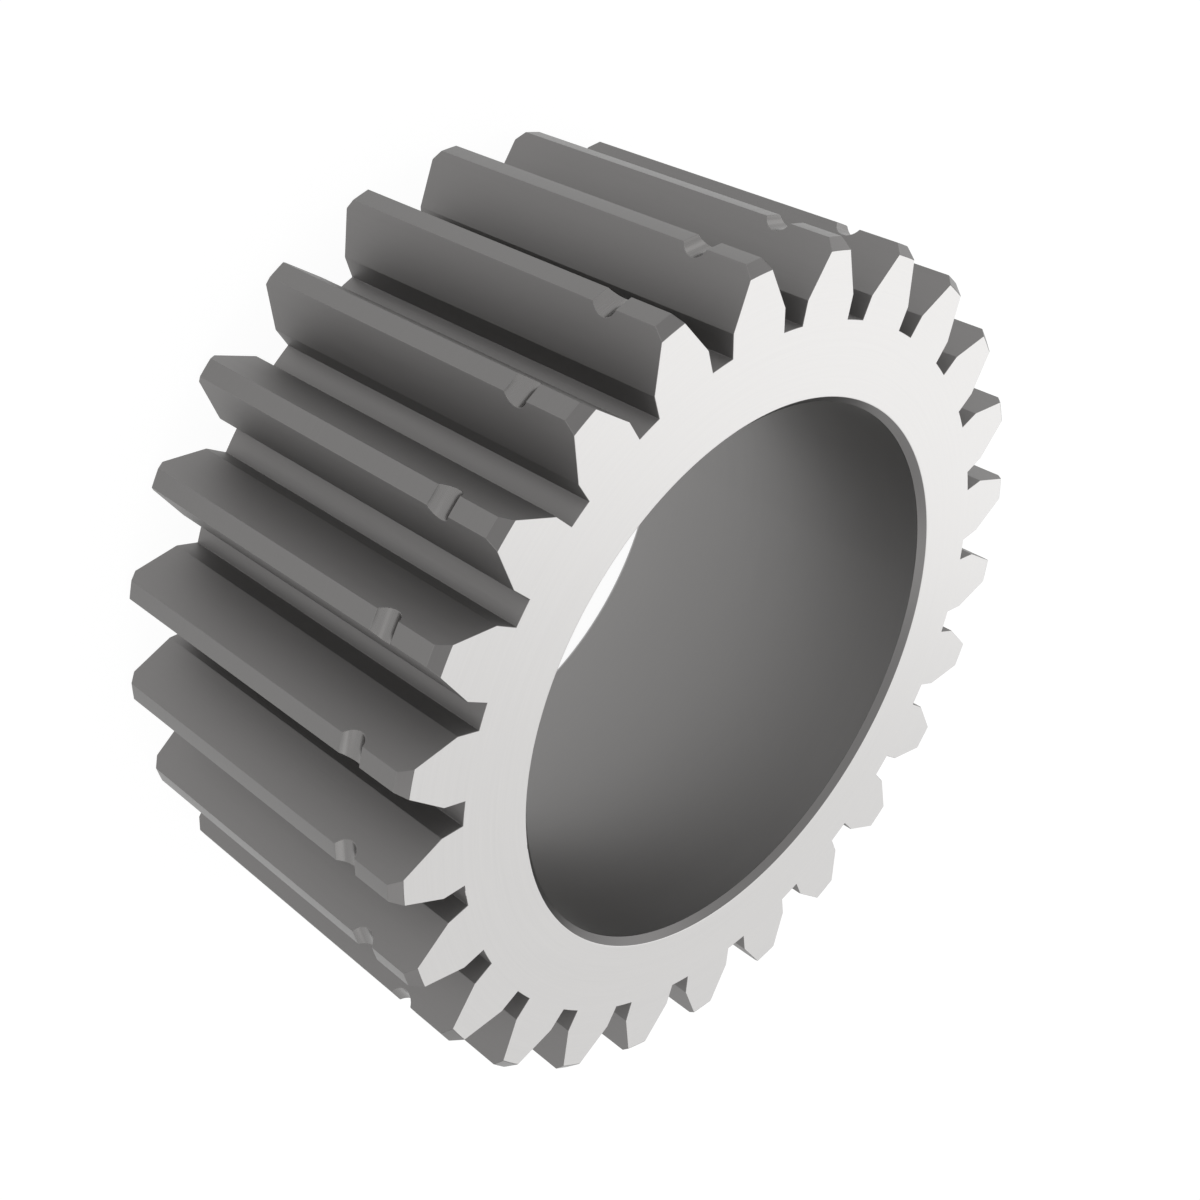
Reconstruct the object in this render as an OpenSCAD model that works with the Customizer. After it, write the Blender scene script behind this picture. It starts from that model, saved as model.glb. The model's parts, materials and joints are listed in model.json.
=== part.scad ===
// Planet gear: a straight-toothed steel ring with a wide plain bore for its bearing.
// It stands on its plain end face, which lies in the XY plane, and the bore's axis is Z.
// The upper end is the marked one: a shallow groove runs round the tips of the teeth near it.
// One tooth points along +X.

/* [Teeth] */
// Number of teeth
teeth = 25; // [22:1:40]
// Module: pitch diameter for each tooth
gear_module = 3.5; // [3:0.25:5]
// Height of a tooth above the pitch circle, in modules
addendum = 1; // [0.8:0.05:1.1]
// Depth of a tooth space below the pitch circle, in modules
dedendum = 1.25; // [1:0.05:1.4]
// Slope of a straight flank from the tooth's centre line, in degrees
flank_angle = 25; // [15:1:32]
// Thinning of each tooth on the pitch circle, for play in mesh
tooth_play = 0.12; // [0:0.01:0.5]
// Thickness of a tooth below its sloping flanks, where its sides are parallel, in modules
foot_thickness = 2.063; // [1.7:0.001:2.3]

/* [Body] */
// Width from end face to end face
face_width = 43.3; // [20:0.1:80]
// Diameter of the bore
bore_d = 61.5; // [20:0.5:70]
// Chamfer at 45 degrees on both ends of the bore
bore_chamfer = 0.77; // [0.1:0.01:2.5]
// Chamfer at 45 degrees on both ends of every tooth's tip
tip_chamfer = 1; // [0.1:0.1:3]

/* [Marking groove] */
// Radius of the groove's round section
groove_r = 1.5; // [1.1:0.1:3]
// Depth of the groove below the tips of the teeth
groove_depth = 1; // [0.2:0.1:1.4]
// Distance from the marked end face to the middle of the groove
groove_inset = 7.1; // [4.5:0.1:12]

/* [Hidden] */
$fn = 180;

// Circles that the teeth are laid out on
pitch_r = gear_module * teeth / 2;
tip_r = pitch_r + addendum * gear_module;
root_r = pitch_r - dedendum * gear_module;
bore_r = bore_d / 2;
tooth_step = 360 / teeth;

// Corner of the flank on the pitch circle, for a tooth that points along +X
pitch_thickness = PI * gear_module / 2 - tooth_play;
pitch_half_angle = pitch_thickness / pitch_r / 2 * 180 / PI;
pitch_x = pitch_r * cos(pitch_half_angle);
pitch_y = pitch_r * sin(pitch_half_angle);

// The sloping flank starts where it is as wide as the foot of the tooth
foot_y = foot_thickness * gear_module / 2;
foot_x = pitch_x - (foot_y - pitch_y) / tan(flank_angle);

// Each tooth starts inside the ring and stands a little proud of the tip circle,
// so that the turned outline trims it to a round land
core_x = (bore_r + root_r) / 2;
proud_x = tip_r + tip_chamfer / 2;

// Half the thickness of the tooth's sloping part at a distance x from the axis
function half_thickness(x) = pitch_y - (x - pitch_x) * tan(flank_angle);

// Outline of one tooth, pointing along +X
module tooth_outline() {
    polygon([
        [core_x, -foot_y],
        [foot_x, -foot_y],
        [proud_x, -half_thickness(proud_x)],
        [proud_x, half_thickness(proud_x)],
        [foot_x, foot_y],
        [core_x, foot_y]
    ]);
}

// Ring of teeth on the root circle, as long as the gear is wide
module toothed_bar() {
    linear_extrude(height = face_width) {
        circle(r = root_r);
        for (i = [0 : teeth - 1])
            rotate(i * tooth_step)
                tooth_outline();
    }
}

// Section of the turned blank: bore, bore chamfers, end faces and tip chamfers
module blank_section() {
    polygon([
        [bore_r + bore_chamfer, 0],
        [tip_r - tip_chamfer, 0],
        [tip_r, tip_chamfer],
        [tip_r, face_width - tip_chamfer],
        [tip_r - tip_chamfer, face_width],
        [bore_r + bore_chamfer, face_width],
        [bore_r, face_width - bore_chamfer],
        [bore_r, bore_chamfer]
    ]);
}

// Section of the marking groove, a circle that dips below the tip circle
module groove_section() {
    translate([tip_r + groove_r - groove_depth, face_width - groove_inset])
        circle(r = groove_r);
}

// Blank as it leaves the lathe, with the marking groove
module turned_blank() {
    rotate_extrude()
        difference() {
            blank_section();
            groove_section();
        }
}

// The finished gear: what the toothed bar and the turned blank have in common
module planet_gear() {
    color([0.87, 0.86, 0.85])
        intersection() {
            toothed_bar();
            turned_blank();
        }
}

planet_gear();
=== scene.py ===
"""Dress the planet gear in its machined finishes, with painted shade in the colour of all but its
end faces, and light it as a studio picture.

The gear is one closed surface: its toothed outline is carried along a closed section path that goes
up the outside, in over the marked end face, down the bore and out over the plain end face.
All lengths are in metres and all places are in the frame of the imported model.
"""

import json
import logging
import math
from dataclasses import dataclass
from enum import Enum, IntEnum

import bpy
import numpy as np
from mathutils import Matrix, Vector

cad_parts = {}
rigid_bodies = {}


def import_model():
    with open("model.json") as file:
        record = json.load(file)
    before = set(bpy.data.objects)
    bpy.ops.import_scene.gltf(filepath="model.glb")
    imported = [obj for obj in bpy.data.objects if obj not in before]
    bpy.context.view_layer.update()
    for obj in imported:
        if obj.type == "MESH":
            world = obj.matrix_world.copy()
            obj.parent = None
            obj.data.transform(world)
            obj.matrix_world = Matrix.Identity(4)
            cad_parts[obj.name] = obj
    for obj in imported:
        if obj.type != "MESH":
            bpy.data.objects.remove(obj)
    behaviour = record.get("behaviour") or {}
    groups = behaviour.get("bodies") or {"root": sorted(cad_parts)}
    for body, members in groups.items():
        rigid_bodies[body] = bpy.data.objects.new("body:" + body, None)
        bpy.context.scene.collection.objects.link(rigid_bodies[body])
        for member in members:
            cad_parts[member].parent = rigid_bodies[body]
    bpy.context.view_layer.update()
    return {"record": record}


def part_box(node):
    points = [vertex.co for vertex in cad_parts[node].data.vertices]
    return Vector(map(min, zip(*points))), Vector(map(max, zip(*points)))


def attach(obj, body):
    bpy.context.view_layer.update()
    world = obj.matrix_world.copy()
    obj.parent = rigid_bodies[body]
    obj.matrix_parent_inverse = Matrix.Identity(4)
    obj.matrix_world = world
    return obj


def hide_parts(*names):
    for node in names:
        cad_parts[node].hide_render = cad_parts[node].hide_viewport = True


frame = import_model()

MM = 0.001
log = logging.getLogger("planet_gear")


def direction(azimuth: float, elevation: float) -> Vector:
    """Point away from the gear at an angle in the studio.

    The direction is (sin a cos e, -cos a cos e, sin e) for an azimuth a and an elevation e.

    Args:
        azimuth: Degrees from the front, which is -Y, towards +X.
        elevation: Degrees above the floor.

    Returns:
        The direction, as a vector of length 1.
    """
    turn, lift = math.radians(azimuth), math.radians(elevation)
    return Vector(
        (math.sin(turn) * math.cos(lift), -math.cos(turn) * math.cos(lift), math.sin(lift))
    )


def map_share(
    tree: bpy.types.NodeTree, share: bpy.types.NodeSocket, low: float, high: float
) -> bpy.types.NodeSocket:
    """Map a share from 0 to 1 onto a range, as low + share * (high - low).

    Args:
        tree: Node tree that the node is added to.
        share: Value from 0 to 1.
        low: Value where the share is 0.
        high: Value where the share is 1.

    Returns:
        The mapped value.
    """
    remap = tree.nodes.new("ShaderNodeMapRange")
    remap.inputs["To Min"].default_value = low
    remap.inputs["To Max"].default_value = high
    tree.links.new(share, remap.inputs["Value"])
    return remap.outputs["Result"]


def multiply(
    tree: bpy.types.NodeTree, value: bpy.types.NodeSocket, factor: float
) -> bpy.types.NodeSocket:
    """Multiply a value by a fixed factor.

    Args:
        tree: Node tree that the node is added to.
        value: Value that changes over the surface.
        factor: The fixed factor.

    Returns:
        The product.
    """
    product = tree.nodes.new("ShaderNodeMath")
    product.operation = "MULTIPLY"
    product.inputs[1].default_value = factor
    tree.links.new(value, product.inputs[0])
    return product.outputs["Value"]


@dataclass(frozen=True)
class ToothForm:
    """Cross-section of the teeth: straight flanks on parallel-sided feet.

    Lengths are in metres, angles in radians, and the addendum, the dedendum and the foot's
    thickness are in modules, as on a gear drawing.
    """

    teeth: int = 25
    module: float = 3.5 * MM
    addendum: float = 1.0
    dedendum: float = 1.25
    flank_slope: float = math.radians(25)
    play: float = 0.12 * MM
    foot_thickness: float = 2.063
    land_parts: int = 2
    flank_parts: int = 3
    root_parts: int = 2

    @property
    def step(self) -> float:
        """Angle from one tooth to the next."""
        return 2 * math.pi / self.teeth

    @property
    def pitch_r(self) -> float:
        """Radius of the pitch circle."""
        return self.module * self.teeth / 2

    @property
    def tip_r(self) -> float:
        """Radius of the tip circle."""
        return self.pitch_r + self.addendum * self.module

    @property
    def root_r(self) -> float:
        """Radius of the root circle."""
        return self.pitch_r - self.dedendum * self.module

    @property
    def foot(self) -> complex:
        """Corner where the sloping flank meets the parallel foot, as x + iy."""
        half_angle = (math.pi * self.module / 2 - self.play) / self.pitch_r / 2
        x, y = self.pitch_r * math.cos(half_angle), self.pitch_r * math.sin(half_angle)
        foot_y = self.foot_thickness * self.module / 2
        return complex(x - (foot_y - y) / math.tan(self.flank_slope), foot_y)

    def land_angle(self, reach: np.ndarray) -> np.ndarray:
        """Half the angle of the land where a tooth is trimmed to a circle.

        The flank's line lies at a distance h from the axis and slopes by a, so it meets the
        circle of radius R at the angle arcsin(h / R) - a.

        Args:
            reach: Radii of the trimming circles.

        Returns:
            The angle from the centre line to the land's edge for each radius.
        """
        slope = self.flank_slope
        distance = self.foot.real * math.sin(slope) + self.foot.imag * math.cos(slope)
        return np.arcsin(distance / reach) - slope

    def half_outline(self, reach: np.ndarray) -> np.ndarray:
        """Half a tooth and half a space, from the middle of the land to the middle of the space.

        The land is an arc of the trimming circle, the flank a straight line from the land's edge
        to the foot, the foot's side runs parallel to the centre line, and the root is an arc.

        Args:
            reach: Radii of the trimming circles, one for each ring of the surface.

        Returns:
            Complex points, one row for each radius.
        """
        reach = reach[:, None]
        edge = self.land_angle(reach)
        land = reach * np.exp(1j * edge * np.linspace(0, 1, self.land_parts + 1))
        share = np.linspace(0, 1, self.flank_parts + 1)[1:]
        flank = land[:, -1:] * (1 - share) + self.foot * share
        corner_angle = math.asin(self.foot.imag / self.root_r)
        root_angles = np.linspace(corner_angle, self.step / 2, self.root_parts + 1)
        root = np.repeat(self.root_r * np.exp(1j * root_angles)[None], len(reach), axis=0)
        return np.concatenate([land, flank, root], axis=1)

    def outline(self, reach: np.ndarray) -> np.ndarray:
        """Whole toothed outline, trimmed to a circle.

        A tooth is its half outline and that half's mirror image, and the ring of teeth is the
        tooth turned by whole steps.

        Args:
            reach: Radii of the trimming circles, one for each ring of the surface.

        Returns:
            Complex points in order round the axis, one row for each radius.
        """
        half = self.half_outline(reach)
        tooth = np.concatenate([half[:, :0:-1].conj(), half[:, :-1]], axis=1)
        turns = np.exp(1j * self.step * np.arange(self.teeth))
        return (tooth[:, None, :] * turns[None, :, None]).reshape(len(reach), -1)

    def land_cells(self) -> np.ndarray:
        """True for each stretch of the outline that lies on a land."""
        flank_side = self.flank_parts + 1 + self.root_parts
        row = [False] * flank_side + [True] * (2 * self.land_parts) + [False] * flank_side
        return np.tile(np.array(row), self.teeth)


class Surface(IntEnum):
    """Surfaces of the gear that are finished in their own way; all but the end face are also
    darkened as painted shade.
    """

    END_FACE = 0
    FLANK = 1
    LAND = 2
    GROOVE = 3
    CHAMFER = 4
    BORE = 5


class Lay(Enum):
    """Direction in which a tool leaves its marks."""

    AROUND = "around the axis"
    ALONG = "along the axis"


@dataclass(frozen=True)
class SteelFinish:
    """A machined steel surface with the fine marks of its tool. Its colour can be set darker than
    the steel's own, as painted shade.

    The marks are a noise of cells. A cell is a mark's width across the lay and a mark's length
    along it. Round the axis, one turn is a circle in the noise, with a radius of some cells.
    """

    name: str
    colour: tuple[float, float, float]
    roughness: float
    lay: Lay
    mark_width: float = 0.2 * MM
    mark_length: float = 12 * MM
    mark_depth: float = 0.003 * MM
    turn_radius_cells: float = 3.0
    noise_detail: float = 2.0
    shade_change: float = 0.04
    roughness_change: float = 0.05

    def marks(self, tree: bpy.types.NodeTree) -> bpy.types.NodeSocket:
        """Add the noise of the tool's marks.

        Args:
            tree: Node tree of the material.

        Returns:
            The noise's output, from 0 to 1.
        """
        place = tree.nodes.new("ShaderNodeTexCoord").outputs["Object"]
        noise = tree.nodes.new("ShaderNodeTexNoise")
        noise.inputs["Scale"].default_value = 1.0
        noise.inputs["Detail"].default_value = self.noise_detail
        if self.lay is Lay.ALONG:
            self.lay_along(tree, place, noise)
        else:
            self.lay_around(tree, place, noise)
        return noise.outputs["Fac"]

    def lay_along(
        self, tree: bpy.types.NodeTree, place: bpy.types.NodeSocket, noise: bpy.types.Node
    ) -> None:
        """Draw the marks out along the axis.

        Args:
            tree: Node tree of the material.
            place: Place on the gear.
            noise: Noise of the marks.
        """
        across = 1 / self.mark_width
        stretch = tree.nodes.new("ShaderNodeMapping")
        stretch.inputs["Scale"].default_value = (across, across, 1 / self.mark_length)
        tree.links.new(place, stretch.inputs["Vector"])
        tree.links.new(stretch.outputs["Vector"], noise.inputs["Vector"])

    def lay_around(
        self, tree: bpy.types.NodeTree, place: bpy.types.NodeSocket, noise: bpy.types.Node
    ) -> None:
        """Draw the marks out round the axis.

        The noise reads the direction from the axis, the height, and the radius as its fourth
        coordinate, so that its rings close with no seam.

        Args:
            tree: Node tree of the material.
            place: Place on the gear.
            noise: Noise of the marks.
        """
        nodes, links = tree.nodes, tree.links
        across = 1 / self.mark_width
        noise.noise_dimensions = "4D"
        split = nodes.new("ShaderNodeSeparateXYZ")
        links.new(place, split.inputs["Vector"])
        flat = nodes.new("ShaderNodeCombineXYZ")
        links.new(split.outputs["X"], flat.inputs["X"])
        links.new(split.outputs["Y"], flat.inputs["Y"])
        radius = nodes.new("ShaderNodeVectorMath")
        radius.operation = "LENGTH"
        links.new(flat.outputs["Vector"], radius.inputs[0])
        heading = nodes.new("ShaderNodeVectorMath")
        heading.operation = "NORMALIZE"
        links.new(flat.outputs["Vector"], heading.inputs[0])
        turn = nodes.new("ShaderNodeVectorMath")
        turn.operation = "SCALE"
        turn.inputs["Scale"].default_value = self.turn_radius_cells
        links.new(heading.outputs["Vector"], turn.inputs[0])
        height = nodes.new("ShaderNodeCombineXYZ")
        links.new(multiply(tree, split.outputs["Z"], across), height.inputs["Z"])
        cell = nodes.new("ShaderNodeVectorMath")
        cell.operation = "ADD"
        links.new(turn.outputs["Vector"], cell.inputs[0])
        links.new(height.outputs["Vector"], cell.inputs[1])
        links.new(cell.outputs["Vector"], noise.inputs["Vector"])
        links.new(multiply(tree, radius.outputs["Value"], across), noise.inputs["W"])

    def material(self) -> bpy.types.Material:
        """Build the finish: bare metal whose shade, gloss and height follow the tool's marks.

        Returns:
            The new material.
        """
        made = bpy.data.materials.new(self.name)
        made.use_nodes = True
        tree = made.node_tree
        shader = tree.nodes["Principled BSDF"]
        shader.inputs["Metallic"].default_value = 1.0
        marks = self.marks(tree)
        tint = tree.nodes.new("ShaderNodeMix")
        tint.data_type = "RGBA"
        dark = [c * (1 - self.shade_change) for c in self.colour]
        light = [min(1.0, c * (1 + self.shade_change)) for c in self.colour]
        tint.inputs["A"].default_value = (*dark, 1.0)
        tint.inputs["B"].default_value = (*light, 1.0)
        tree.links.new(marks, tint.inputs["Factor"])
        tree.links.new(tint.outputs["Result"], shader.inputs["Base Color"])
        smoothest = self.roughness - self.roughness_change
        roughest = self.roughness + self.roughness_change
        tree.links.new(map_share(tree, marks, smoothest, roughest), shader.inputs["Roughness"])
        bump = tree.nodes.new("ShaderNodeBump")
        bump.inputs["Distance"].default_value = self.mark_depth
        tree.links.new(marks, bump.inputs["Height"])
        tree.links.new(bump.outputs["Normal"], shader.inputs["Normal"])
        return made


@dataclass(frozen=True)
class SectionPath:
    """Closed path of the gear's section, with one array entry for each ring of the surface.

    A ring has the radius of the circle that trims its teeth, the radius of its round inner part,
    its share of the way inwards, its height, and the surface that follows it.
    """

    reach: np.ndarray
    inner_r: np.ndarray
    inward: np.ndarray
    height: np.ndarray
    surface: np.ndarray


@dataclass
class PlanetGear:
    """The gear: one piece of steel, toothed outside and bored through."""

    form: ToothForm
    width: float
    bore_r: float
    bore_chamfer: float
    # The finishes' colours: all but the end face's are darkened as painted shade.
    finishes_and_painted_shade: dict[Surface, SteelFinish]
    tip_chamfer: float = 1.0 * MM
    groove_r: float = 1.5 * MM
    groove_depth: float = 1.0 * MM
    groove_inset: float = 7.1 * MM
    groove_parts: int = 14
    length_parts: int = 8
    end_land_parts: int = 2
    bore_parts: int = 4
    crease_angle: float = math.radians(20)
    edge_break: float = 0.05 * MM
    edge_angle: float = math.radians(22)

    def groove(self) -> tuple[np.ndarray, np.ndarray]:
        """Section of the marking groove, from its lower edge to its upper edge.

        The groove is the part of a circle that dips below the tip circle.

        Returns:
            Radii and heights of its points.
        """
        rise = self.groove_r - self.groove_depth
        half = math.acos(rise / self.groove_r)
        angle = np.linspace(-half, half, self.groove_parts + 1)
        centre_r = self.form.tip_r + rise
        centre_z = self.width - self.groove_inset
        return centre_r - self.groove_r * np.cos(angle), centre_z + self.groove_r * np.sin(angle)

    def section(self) -> SectionPath:
        """Work out the closed section path.

        It starts at the plain end's outer edge, goes up the outside over the chamfer, the land
        and the groove, inwards over the marked end face, down the bore with its chamfers, and
        outwards over the plain end face.

        Returns:
            The rings of the path, and the surface that lies after each ring.
        """
        tip, trimmed = self.form.tip_r, self.form.tip_r - self.tip_chamfer
        groove_r, groove_z = self.groove()
        lower = np.linspace(self.tip_chamfer, groove_z[0], self.length_parts + 1)
        upper = np.linspace(groove_z[-1], self.width - self.tip_chamfer, self.end_land_parts + 1)
        lower_r, upper_r = np.full(self.length_parts, tip), np.full(self.end_land_parts, tip)
        outer_r = [[trimmed], lower_r, groove_r, upper_r, [trimmed]]
        outer_z = [[0.0], lower[:-1], groove_z, upper[1:], [self.width]]
        reach, height = np.concatenate(outer_r), np.concatenate(outer_z)
        sides = [Surface.CHAMFER] + [Surface.LAND] * self.length_parts
        sides += [Surface.GROOVE] * self.groove_parts
        sides += [Surface.LAND] * self.end_land_parts
        sides += [Surface.CHAMFER, Surface.END_FACE, Surface.END_FACE]
        outer = len(reach)
        mouth, half_way = self.bore_r + self.bore_chamfer, 0.5
        wall = np.linspace(self.width - self.bore_chamfer, self.bore_chamfer, self.bore_parts + 1)
        wall_r = np.full(len(wall), self.bore_r)
        inner_z = np.concatenate([[self.width] * 2, wall, [0.0] * 2])
        inner_r = np.concatenate([[mouth] * 2, wall_r, [mouth] * 2])
        inward = np.concatenate([[half_way, 1.0], np.ones(len(wall)), [1.0, half_way]])
        sides += [Surface.CHAMFER] + [Surface.BORE] * self.bore_parts + [Surface.CHAMFER]
        sides += [Surface.END_FACE, Surface.END_FACE]
        return SectionPath(
            reach=np.concatenate([reach, np.full(len(inner_z), trimmed)]),
            inner_r=np.concatenate([np.full(outer, mouth), inner_r]),
            inward=np.concatenate([np.zeros(outer), inward]),
            height=np.concatenate([height, inner_z]),
            surface=np.array(sides),
        )

    def points(self, path: SectionPath) -> np.ndarray:
        """Work out the surface's points.

        Each ring is a mixture of the trimmed toothed outline and a circle whose points lie in the
        same directions from the axis: all outline outside, all circle in the bore, and half of
        each half way across an end face.

        Args:
            path: The section path.

        Returns:
            Points as an array of rings, places round the axis, and coordinates.
        """
        outline = self.form.outline(path.reach)
        circle = path.inner_r[:, None] * np.exp(1j * np.angle(outline))
        inward = path.inward[:, None]
        flat = outline * (1 - inward) + circle * inward
        height = np.broadcast_to(path.height[:, None], flat.shape)
        return np.stack([flat.real, flat.imag, height], axis=-1)

    def faces(self, rings: int, places: int) -> np.ndarray:
        """Join the points of a grid that closes both ways into four-sided faces.

        Args:
            rings: Number of rings along the section path.
            places: Number of points round each ring.

        Returns:
            Point numbers of each face, in outward order.
        """
        ring, place = np.meshgrid(np.arange(rings), np.arange(places), indexing="ij")
        next_ring, next_place = (ring + 1) % rings, (place + 1) % places
        corners = [(ring, place), (ring, next_place), (next_ring, next_place), (next_ring, place)]
        return np.stack([r * places + p for r, p in corners], axis=-1).reshape(-1, 4)

    def face_surfaces(self, path: SectionPath) -> np.ndarray:
        """Name the surface that each face lies on.

        The path gives the surface that the land's stretch of the outline passes through. On the
        outside, the rest of the outline is flank and root, which are finished alike.

        Args:
            path: The section path.

        Returns:
            One surface number for each face.
        """
        land = self.form.land_cells()
        table = np.repeat(path.surface[:, None], len(land), axis=1)
        next_inward = np.roll(path.inward, -1)
        outside = (path.inward == 0) & (next_inward == 0)
        table[np.ix_(outside, ~land)] = Surface.FLANK
        return table.reshape(-1)

    def build(self) -> bpy.types.Object:
        """Build the gear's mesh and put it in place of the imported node.

        Returns:
            The gear's object, undressed.
        """
        path = self.section()
        grid = self.points(path)
        rings, places = grid.shape[:2]
        mesh = bpy.data.meshes.new("gear_body")
        mesh.from_pydata(grid.reshape(-1, 3).tolist(), [], self.faces(rings, places).tolist())
        mesh.polygons.foreach_set("material_index", self.face_surfaces(path).astype(np.int32))
        mesh.polygons.foreach_set("use_smooth", np.ones(len(mesh.polygons), dtype=bool))
        mesh.set_sharp_from_angle(angle=self.crease_angle)
        mesh.update()
        body = bpy.data.objects.new("gear_body", mesh)
        bpy.context.scene.collection.objects.link(body)
        self.break_edges(body)
        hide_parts("planet_gear")
        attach(body, "root")
        return body

    def break_edges(self, body: bpy.types.Object) -> None:
        """Break every sharp edge of the gear with a small flat.

        Args:
            body: The gear's object.
        """
        bevel = body.modifiers.new("edge_break", "BEVEL")
        bevel.width = self.edge_break
        bevel.segments = 1
        bevel.limit_method = "ANGLE"
        bevel.angle_limit = self.edge_angle
        bevel.harden_normals = True

    def dress(self, body: bpy.types.Object) -> None:
        """Give each surface of the gear its finish; the colours of all but the end face are painted
        shade.

        Args:
            body: The gear's object.
        """
        for surface in Surface:
            body.data.materials.append(self.finishes_and_painted_shade[surface].material())


@dataclass(frozen=True)
class SoftLamp:
    """A soft lamp with a flat rectangular front that points at the gear's middle.

    Its azimuth and elevation are in degrees, as in the function direction.
    """

    name: str
    azimuth: float
    elevation: float
    width: float
    height: float
    radiance: float
    distance: float = 0.7

    def add(self, target: Vector) -> bpy.types.Object:
        """Hang the lamp.

        A lamp of area A that shines with radiance L gives the power pi * A * L.

        Args:
            target: Point that the lamp is aimed at.

        Returns:
            The lamp's object.
        """
        place = direction(self.azimuth, self.elevation) * self.distance
        data = bpy.data.lights.new(self.name, "AREA")
        data.shape = "RECTANGLE"
        data.size = self.width
        data.size_y = self.height
        data.energy = math.pi * self.width * self.height * self.radiance
        lamp = bpy.data.objects.new(self.name, data)
        lamp.location = target + place
        lamp.rotation_euler = place.to_track_quat("Z", "Y").to_euler()
        bpy.context.scene.collection.objects.link(lamp)
        return lamp


@dataclass
class Studio:
    """Pale floor, soft lamps, even surroundings and the camera.

    The surroundings, the floor's colour and the floor's white are levels, where 1 is white. The
    camera's angles are in degrees.
    """

    target: Vector
    lamps: list[SoftLamp]
    surroundings: float = 0.45
    floor_side: float = 6.0
    floor_colour: float = 0.8
    floor_white: float = 0.94
    shadow_share: float = 0.2
    camera_azimuth: float = 33.38
    camera_elevation: float = 35.62
    camera_distance: float = 187.46 * MM
    camera_roll: float = 119.47
    lens_mm: float = 50.0
    sensor_mm: float = 36.0
    nearest_seen: float = 10 * MM
    farthest_seen: float = 20.0

    def floor_material(self) -> bpy.types.Material:
        """Build the floor's material.

        To the camera, to gloss and through clear things, the floor is plain white, and a share of
        its matt colour is added that keeps the gear's shadow. To all other light it is matt.

        Returns:
            The new material.
        """
        made = bpy.data.materials.new("studio_floor")
        made.use_nodes = True
        tree = made.node_tree
        tree.nodes.remove(tree.nodes["Principled BSDF"])
        seen = self.seen_rays(tree)
        matt = tree.nodes.new("ShaderNodeBsdfDiffuse")
        kept = self.floor_colour * self.shadow_share
        tree.links.new(map_share(tree, seen, self.floor_colour, kept), matt.inputs["Color"])
        white = tree.nodes.new("ShaderNodeEmission")
        tree.links.new(map_share(tree, seen, 0.0, self.floor_white), white.inputs["Strength"])
        both = tree.nodes.new("ShaderNodeAddShader")
        tree.links.new(matt.outputs["BSDF"], both.inputs[0])
        tree.links.new(white.outputs["Emission"], both.inputs[1])
        tree.links.new(both.outputs["Shader"], tree.nodes["Material Output"].inputs["Surface"])
        return made

    def seen_rays(self, tree: bpy.types.NodeTree) -> bpy.types.NodeSocket:
        """Tell the rays that show the background from those that carry light.

        Args:
            tree: Node tree that the nodes are added to.

        Returns:
            A value that is 1 for camera, glossy and transmission rays and 0 for the rest.
        """
        path = tree.nodes.new("ShaderNodeLightPath")
        total = path.outputs["Is Camera Ray"]
        for name in ("Is Glossy Ray", "Is Transmission Ray"):
            larger = tree.nodes.new("ShaderNodeMath")
            larger.operation = "MAXIMUM"
            tree.links.new(total, larger.inputs[0])
            tree.links.new(path.outputs[name], larger.inputs[1])
            total = larger.outputs["Value"]
        return total

    def add_floor(self, height: float) -> bpy.types.Object:
        """Lay the floor.

        Args:
            height: Height of the gear's lower end face.

        Returns:
            The floor's object.
        """
        half = self.floor_side / 2
        corners = [(-half, -half), (half, -half), (half, half), (-half, half)]
        mesh = bpy.data.meshes.new("studio_floor")
        mesh.from_pydata([(x, y, height) for x, y in corners], [], [(0, 1, 2, 3)])
        mesh.materials.append(self.floor_material())
        floor = bpy.data.objects.new("studio_floor", mesh)
        bpy.context.scene.collection.objects.link(floor)
        return floor

    def add_surroundings(self) -> None:
        """Set the even surroundings: white where they are seen, and a calmer level as light."""
        world = bpy.data.worlds.new("studio_surroundings")
        world.use_nodes = True
        tree = world.node_tree
        background = tree.nodes["Background"]
        background.inputs["Color"].default_value = (1.0, 1.0, 1.0, 1.0)
        level = map_share(tree, self.seen_rays(tree), self.surroundings, 1.0)
        tree.links.new(level, background.inputs["Strength"])
        bpy.context.scene.world = world

    def add_camera(self) -> bpy.types.Object:
        """Set the camera: it looks at the gear's middle and is rolled about its line of sight.

        Returns:
            The camera's object.
        """
        data = bpy.data.cameras.new("picture_camera")
        data.lens = self.lens_mm
        data.sensor_width = self.sensor_mm
        data.clip_start = self.nearest_seen
        data.clip_end = self.farthest_seen
        back = direction(self.camera_azimuth, self.camera_elevation)
        level = back.to_track_quat("Z", "Y").to_matrix().to_4x4()
        roll = Matrix.Rotation(math.radians(self.camera_roll), 4, "Z")
        place = Matrix.Translation(self.target + back * self.camera_distance)
        camera = bpy.data.objects.new("picture_camera", data)
        camera.matrix_world = place @ level @ roll
        bpy.context.scene.collection.objects.link(camera)
        bpy.context.scene.camera = camera
        return camera


# One steel throughout: the end face has the steel's own colour, and the flank, land, groove,
# chamfer and bore colours are darker copies of it, painted shade that stands in for the light these
# surfaces miss.
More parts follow.
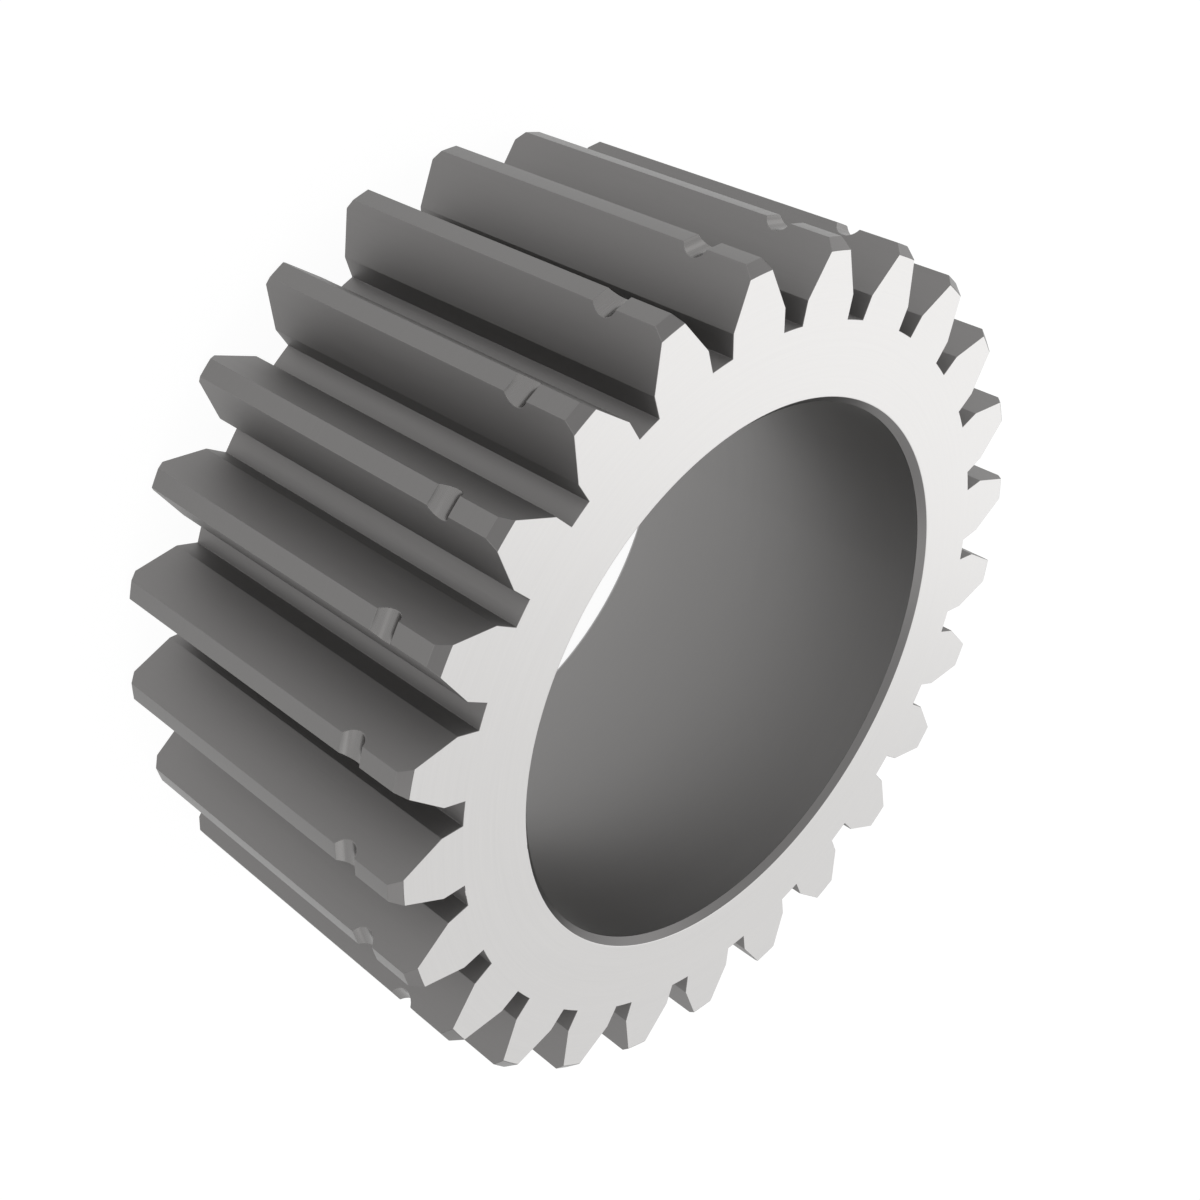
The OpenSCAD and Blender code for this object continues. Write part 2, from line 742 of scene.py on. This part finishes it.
FINISHES_AND_PAINTED_SHADE = {
    Surface.END_FACE: SteelFinish("ground_end_face", (0.625, 0.617, 0.61), 0.38, Lay.AROUND),
    Surface.FLANK: SteelFinish("cut_flank_painted_shade", (0.243, 0.2375, 0.2345), 0.6, Lay.ALONG),
    Surface.LAND: SteelFinish("turned_land_painted_shade", (0.195, 0.191, 0.188), 0.36, Lay.AROUND),
    Surface.GROOVE: SteelFinish("turned_groove_painted_shade", (0.208, 0.203, 0.2), 0.27, Lay.AROUND),
    Surface.CHAMFER: SteelFinish("turned_chamfer_painted_shade", (0.163, 0.159, 0.157), 0.3, Lay.AROUND),
    Surface.BORE: SteelFinish("ground_bore_painted_shade", (0.264, 0.2595, 0.2565), 0.45, Lay.AROUND),
}
LAMPS = [
    SoftLamp("key", azimuth=246, elevation=40, width=0.6, height=0.6, radiance=0.48),
    SoftLamp("left_low", azimuth=292, elevation=12, width=0.7, height=0.28, radiance=0.44),
    SoftLamp("right_high", azimuth=122, elevation=36, width=0.5, height=0.5, radiance=0.48),
    SoftLamp("right_low", azimuth=60, elevation=12, width=0.7, height=0.28, radiance=0.24),
]


def gear_from_frame() -> PlanetGear:
    """Take the gear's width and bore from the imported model.

    Returns:
        The gear, with its other sizes at their drawing values.
    """
    lowest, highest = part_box("planet_gear")
    bore = next(m for m in frame["record"]["mounts"] if m["name"] == "bore")
    width = highest.z - lowest.z
    wall = bore["dims"]["length_mm"] * MM
    return PlanetGear(
        form=ToothForm(),
        width=width,
        bore_r=bore["dims"]["r_mm"] * MM,
        bore_chamfer=(width - wall) / 2,
        finishes_and_painted_shade=FINISHES_AND_PAINTED_SHADE,
    )


def main() -> None:
    """Build the gear and its studio, and report each piece."""
    logging.basicConfig(level=logging.INFO, format="%(message)s")
    scene = bpy.context.scene
    scene.view_settings.view_transform = "Standard"
    gear = gear_from_frame()
    body = gear.build()
    gear.dress(body)
    log.info("gear body: %d points, %d faces", len(body.data.vertices), len(body.data.polygons))
    studio = Studio(target=Vector((0.0, 0.0, gear.width / 2)), lamps=LAMPS)
    studio.add_floor(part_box("planet_gear")[0].z)
    studio.add_surroundings()
    for lamp in studio.lamps:
        studio_lamp = lamp.add(studio.target)
        log.info("lamp %s: %.2f W", lamp.name, studio_lamp.data.energy)
    camera = studio.add_camera()
    log.info("camera: %.0f mm lens", camera.data.lens)


if __name__ == "__main__":
    main()
